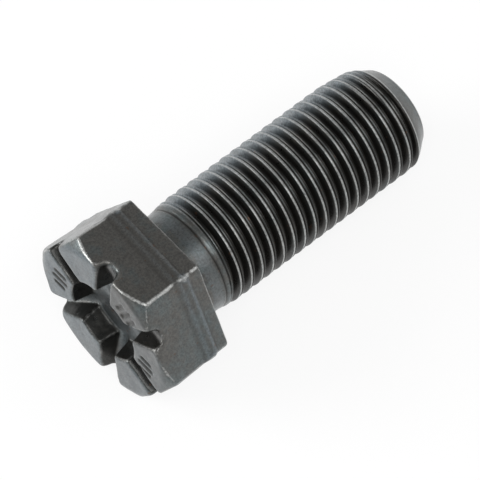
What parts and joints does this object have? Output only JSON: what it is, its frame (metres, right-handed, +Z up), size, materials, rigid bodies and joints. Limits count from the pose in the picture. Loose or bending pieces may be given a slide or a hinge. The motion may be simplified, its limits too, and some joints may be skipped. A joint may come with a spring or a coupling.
{
  "type": "ring gear bolt",
  "caption": "Short hex bolt with a left-hand fine thread, a plain neck, a smooth cone point and six radial slots that meet in a recess in the head.",
  "frame": {"origin": "centre of the bearing face under the head, where the bolt's axis crosses it", "axes": "+Z up with the bolt lying as it comes to rest, on the lower edge of its bearing face and a thread crest near the point; the shank runs towards +X, dipping 5.25 degrees below it; Y is level and across the bolt"},
  "size_m": [0.0358, 0.018, 0.0162],
  "materials": {
    "phosphated_steel": "dark phosphate and oil, worn bright on the edges"
  },
  "bodies": {
    "root": {"ring_gear_bolt": "phosphated_steel"}
  },
  "joints": []
}
